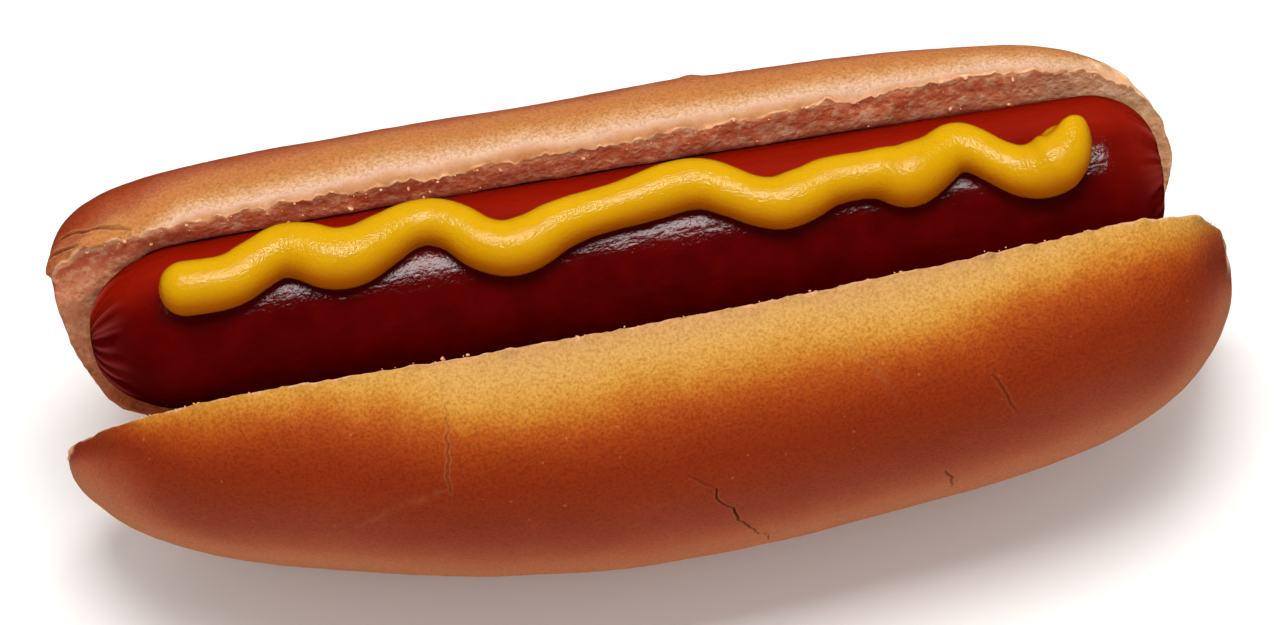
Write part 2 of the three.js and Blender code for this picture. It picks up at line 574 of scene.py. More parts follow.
# Puffed folds at the back half's left end: x, arc and height.
BACK_FOLDS: Layers = ((-65.5, 1.6, 0.9), (-61.5, 3.4, 0.5), (-68.6, 4.5, 0.6))
BACK_BLISTER = (13.5, 11.5)

CRUST_LUMPS: Layers = ((0.30, 19.0, 1.0), (0.10, 7.0, 3.0), (0.035, 1.6, 6.0))
CRUMB_LUMPS: Layers = ((0.34, 4.6, 2.0), (0.16, 1.8, 5.0), (0.09, 0.8, 9.0))
EDGE_RAGS: Layers = ((0.40, 6.0, 0.0), (0.75, 1.9, 3.0), (0.80, 0.9, 6.0))
END_RAGS: Layers = ((2.4, 4.5, 13.0), (1.0, 1.4, 14.0))
BORDER_RAGS: Layers = ((0.50, 2.6, 11.0), (0.30, 1.1, 16.0))
BAKE_STRAYS: Layers = ((3.0, 17.0, 21.0), (1.2, 5.0, 22.0))

FORM_KEYS = ("side", "x", "angle", "down", "web", "pressed")
PAINT_KEYS = ("crumb", "turn", "back", "pale_lit_crumb", "crack", "crease", "calm")


@dataclass
class Spot:
    """One place on a half of the bun.

    Its angle runs round the crust, in degrees from the cut edge. Down is how far it lies
    below that edge on the cut face, and 0 on the crust.
    """

    half: HalfForm
    x: float
    angle: float
    down: float
    point: Vector

    @property
    def on_back(self) -> bool:
        """Whether it belongs to the back half."""
        return self.half.side is Side.BACK

    @property
    def arc(self) -> float:
        """Millimetres round the crust from the cut edge."""
        return self.angle * ARC_PER_DEGREE

    @property
    def edge_gap(self) -> float:
        """Millimetres from the cut edge, on the crust or on the cut face."""
        return self.down if self.down > 0 else self.arc


@dataclass
class Bun:
    """The hinged bun: two opened halves welded along the web under the slit."""

    datum: Datum
    sausage: SausageForm
    halves: tuple[HalfForm, HalfForm] = (FRONT_HALF, BACK_HALF)
    steps_along: int = 300
    crust_steps: int = 84
    cut_steps: int = 40
    end_share: float = 0.19
    web_left: float = -50.0
    web_right: float = 56.0
    web_fade: float = 9.0
    crust_crowding: float = 1.25
    cut_crowding: float = 1.5
    pressed_gap: float = 0.12

    def station(self, half: HalfForm, ring: int) -> float:
        """Places a ring: eased towards each tip, even along the web.

        Args:
            half: The half it is on.
            ring: Its number, counted from the left tip.

        Returns:
            Its x.
        """
        along, end = ring / self.steps_along, self.end_share
        if along < end:
            eased = 1 - math.cos(math.pi / 2 * along / end)
            return half.left + (self.web_left - half.left) * eased
        if along > 1 - end:
            eased = 1 - math.cos(math.pi / 2 * (1 - along) / end)
            return half.right + (self.web_right - half.right) * eased
        share = (along - end) / (1 - 2 * end)
        return self.web_left + (self.web_right - self.web_left) * share

    def in_web(self, ring: int) -> bool:
        """Whether a ring runs through the web that joins the halves."""
        along, slack = ring / self.steps_along, 0.5 / self.steps_along
        return self.end_share - slack <= along <= 1 - self.end_share + slack

    def shape_ends(self, spot: Spot) -> None:
        """Trims and swells the back half's ends, which are torn shorter low down.

        Args:
            spot: The place, whose point is moved.
        """
        if not spot.on_back:
            return
        point = spot.point
        left = ease(50.0, 68.0, -point.x)
        low = 1 - ease(9.0, 26.0, point.z)
        point.x += left * (0.3 + 5.0 * low)
        point.y += 1.0 * left * (1 - low) * ease(0.0, 25.0, spot.angle)
        point.y -= 1.3 * ease(56.0, 66.0, -point.x) * ease(0.5, 7.0, spot.down)
        right = ease(56.0, 72.0, point.x)
        point.x -= right * (0.4 + 3.2 * (1 - ease(12.0, 34.0, point.z)))

    def settle_underside(self, spot: Spot) -> None:
        """Brings both halves' undersides to one height where they meet, and rests them.

        Args:
            spot: The place, whose point is moved.
        """
        point = spot.point
        fade = 1 - max(
            ease(self.web_right, self.web_right + self.web_fade, point.x),
            1 - ease(self.web_left - self.web_fade, self.web_left, point.x),
        )
        share = ease(140, 180, spot.angle) * fade
        if share > 0:
            shared = sum(each.low(point.x) for each in self.halves) / 2
            point.z += share * (shared - spot.half.low(point.x))
        point.z = max(point.z, spot.half.rest_flat)

    def press(self, half: HalfForm, point: Vector) -> float:
        """Pushes a point of the cut face out of the frankfurter that lies against it.

        Args:
            half: The half it is on.
            point: The point, moved in place.

        Returns:
            How far it was pushed, in millimetres.
        """
        radius = self.sausage.radius_at(point.x) + self.pressed_gap
        rise = point.z - self.sausage.axis_height
        if radius <= abs(rise):
            return 0.0
        inward = math.sqrt(radius**2 - rise**2) - half.side.value * point.y
        if inward <= 0:
            return 0.0
        point.y += half.side.value * inward
        return inward

    def half_rings(self, bm: bmesh.types.BMesh, half: HalfForm, keys: Keys) -> None:
        """Adds one half as a sphere whose rings become the bun's sections.

        Args:
            bm: The mesh under construction.
            half: The half to add.
            keys: The float layers that hold each vertex's place on the form.
        """
        around = self.crust_steps + self.cut_steps
        for vert, ring, turn in sphere_grid(bm, self.steps_along, around):
            step = round(turn / math.tau * around) % around
            x = self.station(half, ring)
            angle, down = 0.0, 0.0
            if step <= self.crust_steps:
                angle = 180 * (step / self.crust_steps) ** self.crust_crowding
            else:
                share = (around - step) / (self.cut_steps - 1)
                down = half.cut_depth(x) * share**self.cut_crowding
            web = step in (self.crust_steps, self.crust_steps + 1) and self.in_web(ring)
            for name, value in zip(FORM_KEYS, (half.side.value, x, angle, down, float(web))):
                vert[keys[name]] = value

    def spot(self, vert: bmesh.types.BMVert, keys: Keys) -> Spot:
        """Reads back which place on the form a vertex is."""
        half = self.halves[1 if vert[keys["side"]] > 0 else 0]
        place = (vert[keys[name]] for name in ("x", "angle", "down"))
        return Spot(half, *place, vert.co.copy())

    def weld_web(self, bm: bmesh.types.BMesh, keys: Keys) -> None:
        """Opens both halves along the web and welds them there.

        Args:
            bm: The mesh under construction.
            keys: Its float layers.
        """
        web = keys["web"]
        inner = [face for face in bm.faces if all(vert[web] > 0.5 for vert in face.verts)]
        bmesh.ops.delete(bm, geom=inner, context="FACES_ONLY")
        rims = [vert for vert in bm.verts if vert[web] > 0.5]
        bmesh.ops.remove_doubles(bm, verts=rims, dist=1e-3)

    def near_marks(
        self, bm: bmesh.types.BMesh, keys: Keys, reach: float
    ) -> list[bmesh.types.BMEdge]:
        """Finds the crust's edges beside the deeper grooves.

        Args:
            bm: The mesh under construction.
            keys: Its float layers.
            reach: How near they lie, in millimetres.

        Returns:
            The edges.
        """
        deep = [mark for mark in MARKS if mark.depth >= 0.2]
        near: set[bmesh.types.BMEdge] = set()
        for vert in bm.verts:
            spot = self.spot(vert, keys)
            if spot.angle <= 0 or spot.down > 0:
                continue
            for mark in deep:
                if mark.side is spot.half.side and mark.distance(spot.x, spot.arc)[0] < reach:
                    near.update(vert.link_edges)
                    break
        return list(near)

    def refine_marks(self, bm: bmesh.types.BMesh, keys: Keys) -> None:
        """Cuts the crust finer beside the cracks, so that they are real grooves."""
        for reach, cuts in ((1.6, 2), (0.75, 1)):
            edges = self.near_marks(bm, keys, reach)
            bmesh.ops.subdivide_edges(bm, edges=edges, cuts=cuts, use_grid_fill=True)

    def shape(self, bm: bmesh.types.BMesh, keys: Keys) -> None:
        """Carries every vertex to its place on the form of its half.

        Args:
            bm: The mesh under construction.
            keys: Its float layers.
        """
        for vert in bm.verts:
            spot = self.spot(vert, keys)
            if spot.down > 0:
                spot.point = spot.half.cut(spot.x, spot.down)
                vert[keys["pressed"]] = self.press(spot.half, spot.point)
            else:
                spot.point = spot.half.crust(spot.x, spot.angle)
            self.shape_ends(spot)
            self.settle_underside(spot)
            vert.co = spot.point

    def torn_edge(self, x: float, side: Side) -> float:
        """How far the cut edge stands proud of its line.

        Args:
            x: Place along the bun.
            side: The half it is on.

        Returns:
            The height in millimetres.
        """
        seed = 4.0 + side.value
        ragged = strayed(x, [(height, size, seed + more) for height, size, more in EDGE_RAGS])
        nicks = EDGE_NICKS[side]
        return ragged + sum(height * hump(x - at, width) for at, width, height in nicks)

    def relief(self, bm: bmesh.types.BMesh, keys: Keys) -> None:
        """Adds the crust's unevenness, the torn crumb, the ragged edge and the marks.

        Args:
            bm: The mesh under construction.
            keys: Its float layers, of which the painted ones are filled in.
        """
        bm.normal_update()
        for vert in bm.verts:
            spot = self.spot(vert, keys)
            half, x, point = spot.half, spot.x, spot.point
            torn, crack, crease = self.torn_end(spot), 0.0, 0.0
            if spot.down > 0:
                lift = self.crumb_relief(point, spot.down, vert[keys["pressed"]])
            else:
                lift, crack, crease = self.crust_relief(spot)
                gone = 0.2 * rough(point, 2.4, 15.0) + 0.5 * self.crumb_relief(point, 2.0)
                lift += torn * gone
                lift *= ease(0.0, 3.0, point.z - half.rest_flat)
            crumb = max(torn, self.crumb_share(spot))
            calm = ease(48.0, 60.0, -x) if spot.on_back else 0.0
            # The crumb's paleness is partly painted light, where the crumb is lit by the cut edges
            # and out at the ends.
            tone = (self.browning(spot) / 180, float(spot.on_back), self.paleness(spot))
            for name, value in zip(PAINT_KEYS, (crumb, *tone, crack, crease, calm)):
                vert[keys[name]] = value
            tear = self.torn_edge(x, half.side) * hump(spot.edge_gap, 0.95)
            tear *= ease(0, 6, half.edge(x) - half.low(x))
            vert.co += vert.normal * lift + half.uphill(x) * tear

    def torn_end(self, spot: Spot) -> float:
        """How far a place of the crust is torn away at the bun's ends.

        Args:
            spot: The place.

        Returns:
            0 where the crust is whole, 1 where it is gone.
        """
        x, angle = spot.x, spot.angle
        ragged = layered(spot.point, END_RAGS)
        if spot.on_back:
            inside = min(x - 66.0 + 0.05 * angle, 0.25 * (58.0 - angle))
            return ease(-1.0, 1.0, inside + 1.4 * ragged)
        upper = 1 - ease(14.0, 30.0, angle)
        right = ease(-0.5, 0.5, x - 78.2 + 0.4 * ragged + 0.05 * angle)
        left = ease(-0.5, 0.5, -70.4 - x + 0.4 * ragged - 0.10 * angle)
        return upper * max(left, right)

    def paleness(self, spot: Spot) -> float:
        """How pale the crumb is: partly drier crumb, partly painted light where it is lit by the
        cut edges and out at the ends.

        Args:
            spot: The place.

        Returns:
            0 in the slit, up to 1 out at the ends.
        """
        gap, ends = spot.edge_gap, ease(46.0, 64.0, spot.x)
        if spot.on_back:
            return clamp(max(ends, 0.8 - gap / 1.6, 0.35 * ease(2.0, 5.0, gap)))
        return clamp(max(ends, 0.7 * ease(54.0, 64.0, -spot.x), 0.75 - gap / 2.5))

    def crumb_relief(self, point: Vector, down: float, pressed: float = 0.0) -> float:
        """Height of the torn crumb over its cut face.

        Args:
            point: Its place.
            down: How far below the cut edge it is.
            pressed: How far the frankfurter has pushed it, in millimetres.

        Returns:
            The height in millimetres.
        """
        open_crumb = ease(0.0, 0.9, down) * (1 - 0.8 * ease(0.0, 0.4, pressed))
        holes = noise.voronoi(point / 1.7)[0][0]
        pits = -0.16 * (1 - ease(0.0, 0.40, holes))
        return open_crumb * (layered(point, CRUMB_LUMPS) + pits)

    def crust_relief(self, spot: Spot) -> tuple[float, float, float]:
        """Height of the crust over its form, with its marks.

        Args:
            spot: The place.

        Returns:
            The height in millimetres, and how strongly a crack and a crease colour it.
        """
        half, x, point, arc = spot.half, spot.x, spot.point, spot.arc
        lift = layered(point, CRUST_LUMPS)
        tips = max(ease(0.80, 1.0, x / half.left), ease(0.86, 1.0, x / half.right))
        ridges = rough(Vector((x, point.y * 0.4, point.z * 0.4)), 2.4, 7.0)
        lift += (0.12 if spot.on_back else 0.30) * tips * ridges
        dark, pale = 0.0, 0.0
        for mark in MARKS:
            if mark.side is not half.side:
                continue
            groove, lips = mark.strength(x, arc)
            lift += mark.lip * lips - mark.depth * groove
            dark = max(dark, mark.dark * groove)
            pale = max(pale, mark.pale * groove, 1.4 * mark.lip * lips)
        if spot.on_back:
            lift += 0.45 * hump(math.hypot(x - BACK_BLISTER[0], arc - BACK_BLISTER[1]), 1.5)
            for at_x, at_arc, high in BACK_FOLDS:
                fold = hump(math.hypot((x - at_x) / 2.6, (arc - at_arc) / 1.7), 1.0)
                lift += high * fold
                pale = max(pale, 0.12 * fold)
        return lift, dark, clamp(pale)

    def crumb_share(self, spot: Spot) -> float:
        """How far a place is crumb and not crust, with a broken border.

        Args:
            spot: The place.

        Returns:
            1 on crumb, 0 on crust.
        """
        border = strayed(spot.x, BORDER_RAGS) + 0.35 * rough(spot.point, 0.9, 12.0)
        if spot.on_back:
            border += 0.1 + 0.2 * ease(20.0, 38.0, spot.x)
        beyond = -spot.down if spot.down > 0 else spot.arc
        return 1 - ease(-0.35, 0.35, beyond - border + 0.05)

    def browning(self, spot: Spot) -> float:
        """Degrees round the section that the crust's colour is taken from.

        Args:
            spot: The place.

        Returns:
            Its angle, moved by uneven baking and by how far the tips are baked.
        """
        x, angle = spot.x, spot.angle
        stray = strayed(x, BAKE_STRAYS) + 1.0 * rough(spot.point, 2.5, 23.0)
        baked = steps_between(BAKED_ALONG[spot.half.side], x)
        if spot.on_back:
            stray *= 0.5
        else:
            baked *= 1 - 0.5 * ease(30.0, 75.0, angle)
            baked += 26.0 * ease(65.0, 77.0, x) * ease(10.0, 46.0, angle)
            baked += 16.0 * ease(58.0, 69.0, -x) * ease(4.0, 20.0, angle)
        return clamp(angle + baked + stray * ease(2.0, 14.0, angle), 0.0, 179.0)

    def build(self) -> bpy.types.Object:
        """Builds the bun's mesh.

        Returns:
            The bun.
        """
        bm = bmesh.new()
        layers = bm.verts.layers.float
        keys = {name: layers.new(name) for name in (*FORM_KEYS, *PAINT_KEYS)}
        for half in self.halves:
            self.half_rings(bm, half, keys)
        self.refine_marks(bm, keys)
        self.shape(bm, keys)
        self.weld_web(bm, keys)
        bmesh.ops.recalc_face_normals(bm, faces=bm.faces)
        self.relief(bm, keys)
        for name in FORM_KEYS:
            layers.remove(layers[name])
        return finish_mesh(bm, "bun_loaf", self.datum)


def finish_mesh(bm: bmesh.types.BMesh, name: str, datum: Datum) -> bpy.types.Object:
    """Places a mesh in the frame and makes it an object.

    Args:
        bm: The mesh, in millimetres, which is freed.
        name: The piece's name.
        datum: Where it goes.

    Returns:
        The object, at the origin, with its place in its mesh.
    """
    for vert in bm.verts:
        vert.co = datum.place(vert.co)
    for face in bm.faces:
        face.smooth = True
    return show(name, mesh_from(bm, name))


# --- The frankfurter ---


SKIN_LUMPS: Layers = ((0.10, 16.0, 1.0), (0.030, 4.0, 2.0), (0.02, 2.0, 3.0))
# Waves of gathered skin round an end: height, number and turn for each unit of the seed.
PLEAT_WAVES: Layers = ((0.6, 7.0, 1.0), (0.7, 13.0, 2.1), (0.6, 23.0, 0.6), (0.4, 37.0, 0.0))


@dataclass
class Sausage:
    """The frankfurter: a taut skin that is gathered into pleats at both ends."""

    datum: Datum
    form: SausageForm
    steps_along: int = 380
    steps_around: int = 160
    pleat_height: float = 0.21

    def pleats(self, turn: float, reach: float, seed: float) -> float:
        """Depth of the gathered skin near an end.

        Args:
            turn: Angle round the skin, in radians.
            reach: Distance in from the end, in millimetres.
            seed: Sets this end's own pattern.

        Returns:
            The height over the plain form, in millimetres.
        """
        around = Vector((math.cos(turn), math.sin(turn), seed))
        uneven = turn + 0.30 * noise.noise(around * 1.3) + 0.05 * wander(reach, 2.0, seed)
        folds = sum(
            height * math.cos(number * uneven + by_seed * seed)
            for height, number, by_seed in PLEAT_WAVES
        )
        span = 5.5 + 4.0 * noise.noise(around * 2.3 + Vector((seed, 0.0, 0.0)))
        near = ease(0.0, 0.6, reach) * (1 - ease(0.3 * span, span, reach))
        return self.pleat_height * folds * near

    def build(self) -> bpy.types.Object:
        """Builds the frankfurter's mesh.

        Returns:
            The frankfurter.
        """
        bm = bmesh.new()
        wrinkle, painted_sheen = (bm.verts.layers.float.new(name) for name in ("wrinkle", "painted_sheen"))
        form = self.form
        for vert, ring, turn in sphere_grid(bm, self.steps_along, self.steps_around):
            x = form.x_at(ring / self.steps_along)
            radius = form.radius_at(x)
            point = Vector((x, math.cos(turn) * radius, math.sin(turn) * radius))
            left = x < 0
            reach = x - form.left if left else form.right - x
            folds = self.pleats(turn, reach, 1.0 if left else 4.0)
            lift = folds + layered(point, SKIN_LUMPS)
            if not left:
                crease = (turn + 0.30 - 0.05 * reach) % math.tau - math.pi
                gone = (1 - ease(2.5, 6.5, reach)) * ease(0.2, 1.2, reach)
                lift += gone * (0.35 * hump(crease - 0.25, 0.16) - 0.8 * hump(crease, 0.09))
            point.x += 0.25 * hump(reach, 0.5) if left else -0.7 * hump(reach, 0.9)
            share = max(0.0, radius + lift) / radius if radius > 0.05 else 1.0
            vert.co = Vector((point.x, point.y * share, form.axis_height + point.z * share))
            # Painted sheen: a lighter red over the skin's upper back and round its right end
            # stands in for light falling there.
            high = ease(-2.5, 4.5, point.y + 1.2 * rough(point, 5.0, 8.0))
            high = max(high, 0.6 * ease(58.0, 68.0, x) * ease(-9.0, 0.0, point.y))
            vert[painted_sheen] = high * ease(-4.0, 3.0, point.z)
            # Partly painted highlight: the pleats' ridges near each end are painted paler and
            # pinker, besides a little dulling of the gathered skin.
            vert[wrinkle] = clamp((1 - ease(1.0, 7.0, reach)) * (0.12 + 3.0 * folds))
        bmesh.ops.recalc_face_normals(bm, faces=bm.faces)
        return finish_mesh(bm, "frankfurter", self.datum)


# --- The mustard ---


@dataclass
class Mustard:
    """The piped bead: a tube of paste along its turns, drawn up to a peak at its end."""

    datum: Datum
    sausage: SausageForm
    radius: float = 3.2
    rise: float = 2.2
    base_radius: float = 3.4
    base_turn: tuple[float, float, float] = (56.6, -4.0, -1.2)
    steps_around: int = 32
    samples: int = 10
    voxel: float = 0.30
    smoothing: int = 18
    skin_gap: float = 0.05
    # Turns of the bead: x, swing in degrees to the back, and lift.
    turns: Layers = (
        (-57.0, -2.5, 0.0), (-51.0, -3.8, 0.0), (-47.6, -2.6, 0.0), (-44.6, 3.6, 0.0),
        (-41.2, 9.8, 0.0), (-38.2, 7.0, 0.0), (-35.2, 0.2, 0.0), (-32.0, 0.2, 0.0),
        (-28.6, 6.4, 0.0), (-25.4, 12.6, 0.0), (-22.4, 13.4, 0.0), (-19.4, 6.6, 0.0),
        (-16.8, -4.4, 0.0), (-13.8, -9.9, 0.0), (-10.6, -8.2, 0.0), (-7.4, -2.5, 0.0),
        (-3.8, 1.5, 0.0), (2.3, 5.3, 0.0), (8.6, 10.4, 0.0), (12.0, 8.8, 0.0), (14.8, 1.6, 0.0),
        (17.6, -5.6, 0.0), (20.6, -9.1, 0.0), (23.9, -6.4, 0.0), (27.4, -1.6, 0.0),
        (33.2, -1.6, 0.0), (36.8, -5.2, 0.0), (40.2, -0.4, 0.0), (43.2, 6.6, 0.0),
        (45.6, 3.0, 0.0), (48.2, -6.0, 0.0), (50.9, -12.8, 0.0), (53.7, -13.8, 0.3),
        (56.2, -9.4, 1.0), (57.5, -3.0, 1.6), (58.1, 3.5, 2.2), (58.2, 8.4, 2.6),
    )
    # Where the bead is thicker or thinner: x, width and how much.
    swells: Layers = (
        (-52.0, 6.0, 0.25), (-34.5, 5.5, 0.65), (-23.5, 4.0, -0.25), (-12.5, 4.5, 0.40),
        (-2.0, 6.0, -0.30), (8.0, 4.0, 0.15), (17.5, 3.0, -0.15), (22.0, 3.5, 0.30),
        (31.0, 4.0, -0.20), (37.2, 3.2, 0.90), (47.5, 3.0, -0.40), (55.6, 4.0, 0.80),
    )

    def point(self, turn: tuple[float, float, float]) -> Vector:
        """Finds a point of the centre line.

        Args:
            turn: Its x, swing in degrees and lift.

        Returns:
            The point.
        """
        x, swing, lift = turn
        reach = self.sausage.radius + self.rise + lift
        angle = math.radians(swing)
        height = self.sausage.axis_height + reach * math.cos(angle)
        return Vector((x, reach * math.sin(angle), height))

    def path(self, turns: Sequence[tuple[float, float, float]], samples: int) -> list[Vector]:
        """A smooth line through the turns.

        Args:
            turns: The turns it passes through.
            samples: Points between one turn and the next.

        Returns:
            The points of the line.
        """
        knots = [self.point(turn) for turn in turns]
        ends = [knots[0] * 2 - knots[1], *knots, knots[-1] * 2 - knots[-2]]
        line: list[Vector] = []
        for before, start, stop, after in zip(ends, ends[1:], ends[2:], ends[3:]):
            out = start + (stop - before) / 6
            back = stop - (after - start) / 6
            line.extend(interpolate_bezier(start, out, back, stop, samples + 1)[:-1])
        line.append(knots[-1])
        return line

    def tube(self, bm: bmesh.types.BMesh, line: list[Vector], radii: list[float]) -> None:
        """Adds a closed tube along a line.

        Args:
            bm: The mesh under construction.
            line: The tube's centre line.
            radii: Its radius at each point of the line.
        """
        steps = len(line) - 1
        across = Vector((0.0, 1.0, 0.0))
        frames: list[tuple[Vector, Vector]] = []
        for index in range(steps + 1):
            forward = (line[min(index + 1, steps)] - line[max(index - 1, 0)]).normalized()
            across = (across - forward * across.dot(forward)).normalized()
            frames.append((across, forward.cross(across)))
        for vert, index, turn in sphere_grid(bm, steps, self.steps_around):
            side, upright = frames[index]
            spread = side * math.cos(turn) + upright * math.sin(turn)
            vert.co = line[index] + spread * radii[index]

    def bead_radius(self, gone: float, length: float, x: float) -> float:
        """Radius of the bead.

        Args:
            gone: How far along the bead, in millimetres.
            length: Its whole length.
            x: Place along the frankfurter.

        Returns:
            The radius in millimetres.
        """
        start = math.sqrt(clamp(1 - (1 - min(gone / 3.2, 1)) ** 2))
        left = length - gone
        peak = 0.20 + 0.80 * clamp(left / 6.5) ** 0.6
        stop = math.sqrt(clamp(1 - (1 - min(left / 0.9, 1)) ** 2))
        uneven = self.radius * (1 + 0.03 * wander(x, 7.0, 31.0) + 0.02 * wander(x, 2.6, 33.0))
        uneven += sum(more * hump(x - at, width) for at, width, more in self.swells)
        return uneven * start * stop * peak

    def build(self) -> bpy.types.Object:
        """Builds the bead and the round end it is piped over, and lays them down.

        Returns:
            The mustard.
        """
        bm = bmesh.new()
        line = self.path(self.turns, self.samples)
        gone = [0.0]
        for one, other in zip(line, line[1:]):
            gone.append(gone[-1] + (other - one).length)
        radii = [self.bead_radius(at, gone[-1], point.x) for at, point in zip(gone, line)]
        self.tube(bm, line, radii)
        base = bmesh.ops.create_icosphere(bm, subdivisions=4, radius=self.base_radius)
        bmesh.ops.translate(bm, verts=base["verts"], vec=self.point(self.base_turn))
        bmesh.ops.recalc_face_normals(bm, faces=bm.faces)
        piece = finish_mesh(bm, "mustard_bead", self.datum)
        melt(piece, voxel=self.voxel * MM, smooth=self.smoothing)
        self.lay_down(piece)
        return piece

    def lay_down(self, piece: bpy.types.Object) -> None:
        """Keeps the paste out of the frankfurter, paints how near it each place is, and paints
        shade where it turns from the key lamp.

        Args:
            piece: The bead, whose mesh is changed.
        """
        foot_and_shade = piece.data.attributes.new("foot_and_shade", "FLOAT", "POINT")
        light = Vector((0.0, 0.14, 0.99))
        facing = [Vector(normal.vector).dot(light) for normal in piece.data.vertex_normals]
        for vert, turned in zip(piece.data.vertices, facing):
            point = (vert.co - self.datum.shift) / MM
            spoke = Vector((0.0, point.y, point.z - self.sausage.axis_height))
            skin = self.sausage.radius_at(point.x) + self.skin_gap
            low = 1 - ease(0.0, 3.6, spoke.length - skin)
            # Painted shade: the foot colour also goes where the normal turns away from the key
            # lamp, besides the thin paste low by the skin.
            foot_and_shade.data[vert.index].value = max(low, 1 - ease(0.1, 1.0, turned))
            if 0.1 < spoke.length < skin:
                point += spoke.normalized() * (skin - spoke.length)
                vert.co = self.datum.place(point)


def melt(piece: bpy.types.Object, voxel: float, smooth: int) -> None:
    """Remeshes a piece into one even skin, so that what overlaps becomes one body.

    Args:
        piece: The piece to remesh.
        voxel: Size of the new faces, in metres.
        smooth: Rounds of smoothing afterwards.
    """
    remesh = piece.modifiers.new("melt", "REMESH")
    remesh.mode = "VOXEL"
    remesh.voxel_size = voxel
    remesh.use_smooth_shade = True
    soften = piece.modifiers.new("soften", "SMOOTH")
    soften.factor = 0.5
    soften.iterations = smooth
    bpy.context.view_layer.update()
    graph = bpy.context.evaluated_depsgraph_get()
    mesh = bpy.data.meshes.new_from_object(piece.evaluated_get(graph))
    mesh.name = piece.name
    piece.modifiers.clear()
    piece.data = mesh
    for face in mesh.polygons:
        face.use_smooth = True


# --- Loose crumbs ---


@dataclass
class Crumbs:
    """Small torn crumbs clinging along the cut edges and on the cut faces."""

    datum: Datum
    bun: Bun
    count: int = 190
    seed: int = 11

    def build(self) -> bpy.types.Object:
        """Builds all the crumbs as one joined mesh.

        Returns:
            The crumbs.
        """
        draw = random.Random(self.seed)
        bm = bmesh.new()
        crumb, pale_lit_crumb = (bm.verts.layers.float.new(name) for name in ("crumb", "pale_lit_crumb"))
        for _ in range(self.count):
            half = draw.choice(self.bun.halves)
            x = draw.uniform(half.left * 0.93, half.right * 0.95)
            if draw.random() < 0.4:
                point = half.cut(x, abs(draw.gauss(0.0, 0.5)))
            else:
                point = half.cut(x, draw.uniform(0.3, 7.0))
            if self.bun.press(half, point) > 0:
                continue
            point += half.uphill(x) * self.bun.torn_edge(x, half.side) * 0.7
            point.y -= half.side.value * draw.uniform(0.0, 0.35)
            size = 0.09 + 0.22 * draw.random() ** 3
            made = bmesh.ops.create_icosphere(bm, subdivisions=2, radius=size)
            stretch = Matrix.Diagonal(
                (draw.uniform(0.9, 1.5), draw.uniform(0.8, 1.2), draw.uniform(0.6, 0.9))
            )
            spin = draw.uniform(0, math.tau)
            axis = Vector((draw.random(), draw.random(), 1.0)).normalized()
            turn = Matrix.Rotation(spin, 3, axis)
            for vert in made["verts"]:
                lumpy = 1 + 0.45 * rough(vert.co + point, 0.35, 41.0)
                vert.co = turn @ (stretch @ (vert.co * lumpy)) + point
                # The loose crumbs take most of the pale lit crumb colour, partly painted light.
                vert[crumb], vert[pale_lit_crumb] = 1.0, 0.7
        return finish_mesh(bm, "bread_crumbs", self.datum)


# --- Shader building ---


class Level:
    """A number that varies over a surface, written as arithmetic on shader sockets."""

    def __init__(self, paint: "Paint", socket: bpy.types.NodeSocket) -> None:
        """Wraps a socket of the given material."""
        self.paint = paint
        self.socket = socket

    def _math(self, operation: str, *values: Any) -> "Level":
        """Adds one Math node."""
        made = self.paint.node("ShaderNodeMath", {"operation": operation}, dict(enumerate(values)))
        return Level(self.paint, made.outputs[0])

    def __add__(self, other: Any) -> "Level":
        """Adds."""
        return self._math("ADD", self, other)

    __radd__ = __add__

    def __sub__(self, other: Any) -> "Level":
        """Subtracts."""
        return self._math("SUBTRACT", self, other)

    def __rsub__(self, other: Any) -> "Level":
        """Subtracts from."""
        return self._math("SUBTRACT", other, self)

    def __mul__(self, other: Any) -> "Level":
        """Multiplies."""
        return self._math("MULTIPLY", self, other)

    __rmul__ = __mul__

    def between(self, low: float, high: float) -> "Level":
        """Rises smoothly between two bounds.

        Args:
            low: Where it is still 0.
            high: Where it reaches 1.

        Returns:
            The risen level.
        """
        made = self.paint.node(
            "ShaderNodeMapRange",
            {"interpolation_type": "SMOOTHSTEP"},
            {"Value": self, "From Min": low, "From Max": high, "To Min": 0.0, "To Max": 1.0},
        )
        return Level(self.paint, made.outputs[0])


